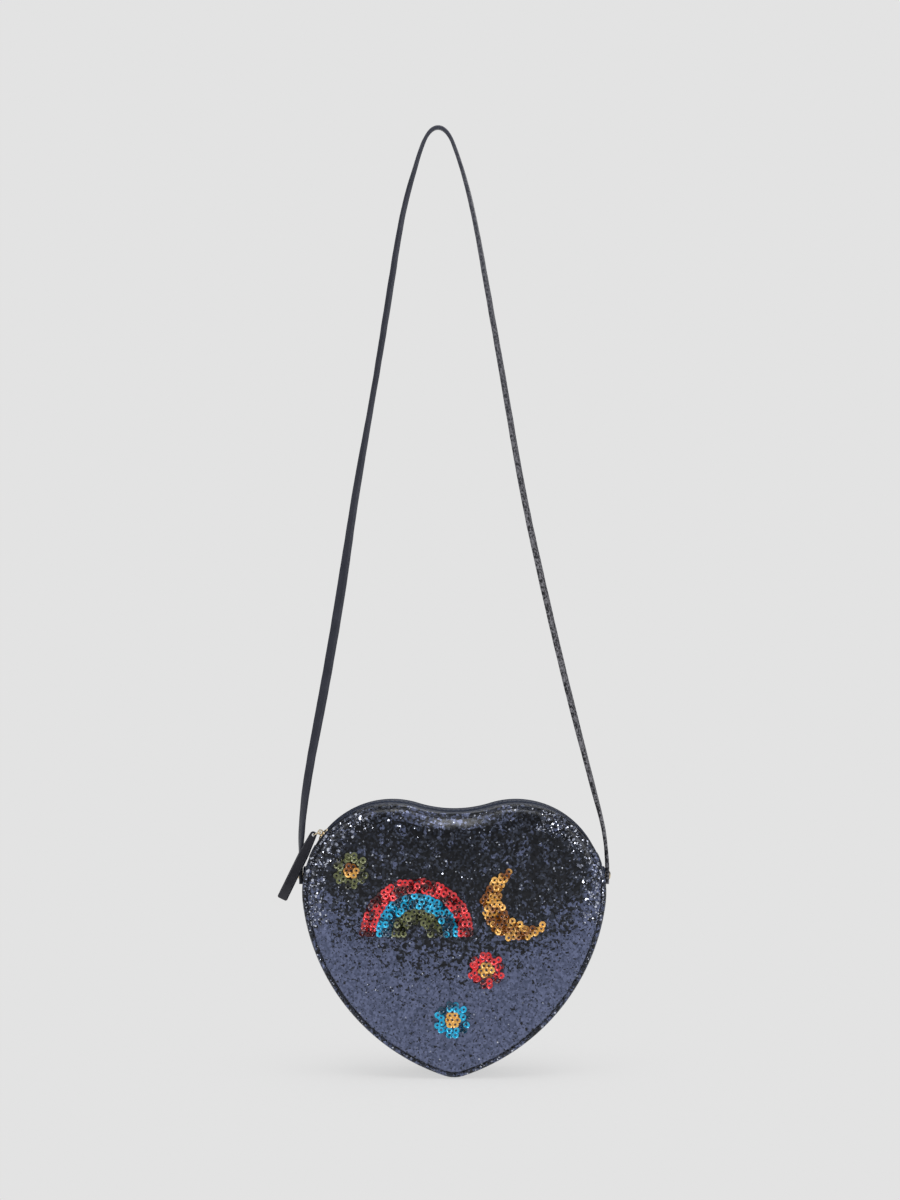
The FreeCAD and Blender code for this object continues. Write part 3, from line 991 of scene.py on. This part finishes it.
def pull_outline():
    """Outline of the pull about its hole: a round head, widening shoulders, and a foot with small corners."""
    outline = []
    head, half, foot = pull_top / 2, pull_width / 2, pull_length - pull_top / 2
    flare = atan2(half - head, pull_shoulder)
    for i in range(head_steps + 1):
        turn = pi / 2 + flare + (pi - 2 * flare) * i / head_steps
        outline.append((head * cos(turn), head * sin(turn), cos(turn), sin(turn)))
    for a in steps(0, foot - pull_corner, pull_step)[1:-1]:
        lean = flare if a < pull_shoulder else 0
        outline.append((a, -min(half, head + a * tan(flare)), -sin(lean), -cos(lean)))
    for i in range(foot_steps + 1):
        turn = -pi / 2 + pi / 2 * i / foot_steps
        a = foot - pull_corner + pull_corner * cos(turn)
        b = -half + pull_corner + pull_corner * sin(turn)
        outline.append((a, b, cos(turn), sin(turn)))
    for a, b, na, nb in reversed(outline[head_steps + 1:]):
        outline.append((a, -b, na, -nb))
    return outline


def pull_place(a, b, height):
    """Point of the pull at a distance from its hole, across it, and over its middle plane."""
    along = leaning(pull_deg)
    across = Vector((-sin(radians(pull_deg)), 0, cos(radians(pull_deg))))
    out = along.cross(across)
    hole_at = slider_at + leaning(ring_deg) * ring_reach
    bow = pull_bow * max(0, a / pull_length) ** 2
    return hole_at + along * a + across * b + out * (height + bow)


def pull_strip():
    """A flat strip with a hole for the ring, its foot bowed a little away from the bag."""
    outline = pull_outline()
    half = pull_wall / 2
    hole = []
    for a, b, _, _ in outline:
        size = hypot(a, b)
        hole.append((a / size * pull_hole, b / size * pull_hole))
    rings = []
    for face in (1, -1):
        half_rings = []
        for share in pull_face_shares:
            half_rings.append([
                pull_place(c + (a - c) * share, d + (b - d) * share, face * half)
                for (c, d), (a, b, _, _) in zip(hole, outline)
            ])
        levels = [(inset, face * (half - drop)) for inset, drop in pull_levels]
        half_rings += plate_rings(outline, pull_place, levels)
        rings += half_rings if face > 0 else reversed(half_rings)
    strip = lofted("leather_pull_strip", rings, pull_hide, loop=True)
    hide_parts("leather_pull")
    return strip


def pull_seams():
    """A line of stitches along each edge of the pull."""
    heap = Heap()
    for side in (-1, 1):
        for mid in steps(seam_top, pull_length - seam_foot, seam_pitch):
            wide = min(pull_width, pull_top + (pull_width - pull_top) * mid / pull_shoulder)
            across = side * (wide / 2 - seam_inset)

            def at(along, share):
                return pull_place(along, across, pull_wall / 2 + seam_rise * share)

            stitch(heap, at, mid, seam_length, seam_radius, seam_shares)
    stitches = heap.piece("pull_stitches", thread_fibre)
    return stitches


for word in ("left", "right"):
    end_tab(word)
slider()
for piece in (pull_strip(), pull_seams()):
    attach(piece, "pull")
for node in ("slider_lug", "pull_ring", "zip_stop_left", "zip_stop_right"):
    metal = frame["nodes"][node]
    metal.data.materials.clear()
    metal.data.materials.append(gold_plate)

# Strap fixings: levels are insets and drops from the outer face, and a dome has shares of radius and height
patch_corner = 1.5 * mm
patch_levels = in_metres([(0, 0.3), (0.12, 0.1), (0.4, 0)])
rivet_shank = 1.2 * mm
rivet_height = 1.0 * mm
rivet_sides = 24
dome_shares = [(0.08, 0.0), (0.4, 0.05), (0.7, 0.2), (0.92, 0.5), (1.0, 0.85), (0.98, 1.0)]


def outer_and_inner(node, side):
    """The x of a node's outer and inner ends, the middle of its box, and its size in y and z."""
    low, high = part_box(node)
    ends = (low.x, high.x) if side < 0 else (high.x, low.x)
    return *ends, (low + high) / 2, high.y - low.y, high.z - low.z


def patch(word, side):
    """A patch on the side of the bag, under the end of the strap."""
    outer, inner, hub, wide, high = outer_and_inner(f"strap_patch_{word}", side)

    def place(a, b, x):
        return Vector((x, hub.y + a, hub.z + b))

    levels = [(0, inner)] + [(inset, outer - side * drop) for inset, drop in patch_levels]
    rings = plate_rings(rounded_box(wide, high, patch_corner), place, levels)
    piece = lofted(f"strap_patch_{word}_hide", rings, navy_hide)
    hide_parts(f"strap_patch_{word}")
    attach(piece, "bag")


def rivet(word, side):
    """The domed rivet through patch and strap."""
    tip, foot, hub, _, high = outer_and_inner(f"strap_rivet_{word}", side)
    head = high / 2
    neck, heel = tip - side * rivet_height, foot + side * rivet_height
    levels = [(head * r, tip - side * rivet_height * drop) for r, drop in dome_shares]
    levels += [(rivet_shank, neck), (rivet_shank, heel), (head, heel), (head, foot)]
    turns = round_turns(rivet_sides)
    rings = [ring_about(Vector((x, hub.y, hub.z)), y_axis, z_axis, r, turns) for r, x in levels]
    piece = lofted(f"strap_rivet_{word}_domed", rings, gold_plate, sharp_deg=40)
    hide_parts(f"strap_rivet_{word}")
    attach(piece, "bag")


for word, side in (("left", -1), ("right", 1)):
    patch(word, side)
    rivet(word, side)

# Sequins: a cup's profile has shares of its radius, and a petal's cups have shares of the lobe's and angles
cup_radius = 2.0 * mm
cup_pitch = 2.75 * mm
cup_sides = 14
cup_tilt = 0.24
cup_lift_mm = (0.25, 0.75)
cup_profile_shares = [
    (0.36, 0.0), (0.52, 0.03), (0.76, 0.14), (1.0, 0.3),
    (1.0, 0.25), (0.76, 0.09), (0.52, -0.02), (0.36, -0.05),
]
motif_seed = 7
moon_radius = lobe_radius * 0.42
moon_bite = lobe_radius * 0.34
moon_shift = lobe_radius * 0.21
moon_x = lobe_radius * 0.72
moon_z = lobe_radius * -0.12
moon_turn = radians(35)
moon_row_pitch = cup_pitch * 0.87
moon_edge = 1.4 * mm
bite_edge = 1.2 * mm
moon_ease = 0.25 * mm
arch_radius = lobe_radius * 0.63
arch_wide = lobe_radius * 0.16
arch_gap = lobe_radius * 0.012
arch_x = lobe_radius * -0.42
arch_z = lobe_radius * -0.46
arch_rows = 3
arch_end = 0.03
arch_ease = 0.2 * mm
petal_count = 6
petal_cup_shares = ((0.128, -0.29), (0.128, 0.29), (0.172, -0.2), (0.172, 0.2))
petal_ease = 0.15 * mm
blossom_heart_radius = lobe_radius * 0.058


def tilted(normal, tilt, dice):
    """A direction that leans from a normal by chance, and two directions across it."""
    lean = Vector((dice.gauss(0, tilt), 0, dice.gauss(0, tilt)))
    out = (normal.normalized() + lean).normalized()
    across = out.cross(z_axis).normalized()
    return out, across, across.cross(out)


def add_cup(heap, x, z, dice):
    """One cup sequin on the padded front, tilted and lifted by chance."""
    found = on_front(x, z)
    if not found:
        return
    point, normal = found
    out, across, up = tilted(normal, cup_tilt, dice)
    base = point + out * dice.uniform(*cup_lift_mm) * mm
    turns = round_turns(cup_sides)
    rings = []
    for r, h in cup_profile_shares:
        rings.append(ring_about(base + cup_radius * h * out, across, up, cup_radius * r, turns))
    heap.loft(rings, loop=True)


def cups_in(name, places, material, node, dice):
    heap = Heap()
    for x, z in places:
        add_cup(heap, x, z, dice)
    piece = heap.piece(name, material)
    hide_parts(node)
    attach(piece, "bag")


def moon_places(dice):
    """A staggered grid inside a crescent."""
    places = []
    rows = round(2 * moon_radius / moon_row_pitch)
    for row in range(-rows, rows + 1):
        for column in range(-rows, rows + 1):
            x = (column + 0.5 * (row % 2)) * cup_pitch + dice.gauss(0, moon_ease)
            z = row * moon_row_pitch + dice.gauss(0, moon_ease)
            far = hypot(x - moon_shift * cos(moon_turn), z - moon_shift * sin(moon_turn))
            if hypot(x, z) < moon_radius - moon_edge and far > moon_bite + bite_edge:
                places.append((moon_x + x, moon_z + z))
    return places


def arch_places(order, dice):
    """Rows along one band of a half ring."""
    outer = arch_radius - order * (arch_wide + arch_gap)
    places = []
    for row in range(arch_rows):
        radius = outer - arch_wide * (row + 0.5) / arch_rows
        for turn in steps(arch_end, pi - arch_end, cup_pitch / radius):
            places.append(swung(arch_x, arch_z, radius + dice.gauss(0, arch_ease), turn))
    return places


def blossom_places(node, dice):
    """Round petals about a middle, each a few cups."""
    at_x, at_z = node_middle(node)
    places = []
    for turn in round_turns(petal_count):
        for reach, spread in petal_cup_shares:
            r = lobe_radius * reach + dice.gauss(0, petal_ease)
            places.append(swung(at_x, at_z, r, pi / 2 + turn + spread))
    return places


def blossom_hearts(words, dice):
    """The gold middles of the blossoms: one cup, and a ring of cups about it."""
    heap = Heap()
    for word in words:
        at_x, at_z = node_middle(f"blossom_{word}")
        add_cup(heap, at_x, at_z, dice)
        for turn in round_turns(petal_count):
            add_cup(heap, *swung(at_x, at_z, blossom_heart_radius, turn), dice)
    hearts = heap.piece("blossom_hearts", sequin_gold)
    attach(hearts, "bag")


def sequins():
    dice = random.Random(motif_seed)
    cups_in("moon_cups", moon_places(dice), sequin_gold, "moon_sequins", dice)
    foils = {"red": sequin_red, "cyan": sequin_cyan, "olive": sequin_olive}
    for order, (word, material) in enumerate(foils.items()):
        arch, blossom, slot = f"arch_sequins_{word}", f"blossom_{word}", f"sequin_{word}"
        cups_in(f"arch_cups_{word}", arch_places(order, dice), material, arch, dice)
        cups_in(f"blossom_cups_{word}", blossom_places(blossom, dice), material, blossom, dice)
    blossom_hearts(foils, dice)


sequins()

# Loose flakes: a few all over, drifts along the upper edges of the lobes, and some on the rim
flake_seed = 11
flake_corners = 6
flake_radius = 0.5 * mm
flake_radius_shares = (0.6, 1.25)
flake_wall = 0.06 * mm
flake_lift = 0.1 * mm
loose_count = 900
loose_tilt = 0.2
loose_high_shares = (-2.1, 1)
loose_thin = -18 * mm
loose_kept_share = 0.2
drift_count = 700
drift_tilt = 0.26
drift_left = (radians(105), radians(205))
drift_right = (radians(-20), radians(75))
drift_inset = (1.5 * mm, 13 * mm)
drift_power = 1.6
large_radius = 0.95 * mm
large_share = 0.14
rim_count = 170
rim_tilt = 0.3
rim_inset = (0.8 * mm, 2.8 * mm)


def add_flake(heap, found, tilt, radius, dice):
    """One thin flake of chance size and corners."""
    point, normal = found
    out, across, up = tilted(normal, tilt, dice)
    size = radius * dice.uniform(*flake_radius_shares)
    turns = sorted(turn + dice.random() for turn in round_turns(flake_corners))
    base = point + out * flake_lift
    heap.loft([ring_about(base + out * height, across, up, size, turns) for height in (0, flake_wall)])


def flakes():
    dice = random.Random(flake_seed)
    heap = Heap()
    for _ in range(loose_count):
        x, z = dice.uniform(-half_width, half_width), dice.uniform(*loose_high_shares) * lobe_radius
        found = on_front(x, z)
        if found and (z > loose_thin or dice.random() < loose_kept_share):
            add_flake(heap, found, loose_tilt, flake_radius, dice)
    for i in range(drift_count):
        side, turns = (-1, drift_left) if i % 2 else (1, drift_right)
        turn = dice.uniform(*turns)
        near, far = drift_inset
        reach = lobe_radius - near - (far - near) * dice.random() ** drift_power
        found = on_front(*swung(side * lobe_x, 0, reach, turn))
        if found:
            radius = large_radius if dice.random() < large_share else flake_radius
            add_flake(heap, found, drift_tilt, radius, dice)
    for _ in range(rim_count):
        x, z, normal_x, normal_z = on_heart(dice.uniform(0, round_length))
        inset = dice.uniform(*rim_inset)
        found = on_front(x - inset * normal_x, z - inset * normal_z)
        if found:
            add_flake(heap, found, rim_tilt, flake_radius, dice)
    piece = heap.piece("glitter_flakes", flake_foil, sharp_deg=30)
    return piece


for piece in (flakes(), panel):
    fold_with_mouth(piece)

# Floor and studio light, in metres and watts
backdrop_grey = (0.768, 0.768, 0.768)
room_dim = (0.07, 0.07, 0.075)
floor_bright = (0.75, 0.76, 0.78)
floor_matt = (0.8, 0.8, 0.8)
floor_gap = 0.5 * mm
floor_reach = 0.9
floor_soft = 0.085
floor_hold = 0.48
floor_matt_share = 0.5
floor_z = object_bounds()[0][2] - floor_gap
soft_boxes = {
    "top_light": ((0.1, -0.25, 0.9), (1.4, 1.0), 14),
    "left_light": ((-1.1, -1.1, 0.35), (0.5, 0.7), 7),
    "right_light": ((1.2, -0.9, 0.25), (0.5, 0.9), 9),
    "back_light": ((0.2, 1.3, 0.5), (1.2, 0.8), 4),
}


def studio():
    """A pale backdrop, a bright floor below and a dim room above."""
    world = bpy.data.worlds.new("studio")
    world.use_nodes = True
    tree = world.node_tree
    add = node_maker(tree)
    tree.nodes.remove(tree.nodes["Background"])
    height = add("SeparateXYZ", Vector=add("TexCoord").outputs["Generated"]).outputs["Z"]
    above = add("MapRange", {"interpolation_type": "SMOOTHSTEP"}, Value=height, From_Min=-0.08, From_Max=0.12)
    room = add("Background", Color=mix_colour(add, above.outputs[0], floor_bright, room_dim))
    plain = add("Background", Color=backdrop_grey)
    seen = add("LightPath").outputs["Is Camera Ray"]
    both = add("MixShader", i0=seen, i1=room.outputs[0], i2=plain.outputs[0])
    tree.links.new(both.outputs[0], tree.nodes["World Output"].inputs[0])
    bpy.context.scene.world = world
    bpy.context.scene.view_settings.view_transform = "Standard"


def floor():
    """A pale sheet under the point of the heart that fades out into the backdrop."""
    heap = Heap()
    hub = Vector((middle.x, middle.y, floor_z))
    heap.points = [hub + floor_reach * Vector((x, y, 0)) for x, y in ((-1, -1), (1, -1), (1, 1), (-1, 1))]
    heap.faces = [(0, 1, 2, 3)]
    material, add, shader = graph("pale_floor")
    tree = material.node_tree
    away = add("VectorMath", {"operation": "DISTANCE"}, i0=place_of(add), i1=tuple(hub)).outputs["Value"]
    spread = sums(add, "POWER", sums(add, "DIVIDE", away, floor_soft), 2.0)
    fade = sums(add, "MULTIPLY", sums(add, "POWER", exp(-1), spread), floor_hold)
    glow = add("Emission", Color=backdrop_grey, Strength=1.0)
    matt = add("BsdfDiffuse", Color=floor_matt)
    body = add("MixShader", i0=floor_matt_share, i1=glow.outputs[0], i2=matt.outputs[0])
    clear = add("BsdfTransparent")
    whole = add("MixShader", i0=fade, i1=clear.outputs[0], i2=body.outputs[0])
    tree.nodes.remove(shader)
    tree.links.new(whole.outputs[0], tree.nodes["Material Output"].inputs[0])
    heap.piece("floor", material)


def soft_box(name, at, size, watts):
    """A rectangular lamp that faces the heart."""
    light = bpy.data.lights.new(name, "AREA")
    light.shape = "RECTANGLE"
    light.size, light.size_y = size
    light.energy = watts
    lamp = placed(name, light)
    lamp.location = at
    lamp.rotation_euler = (middle - Vector(at)).to_track_quat("-Z", "Y").to_euler()


studio()
floor()
for name, (at, size, watts) in soft_boxes.items():
    soft_box(name, at, size, watts)
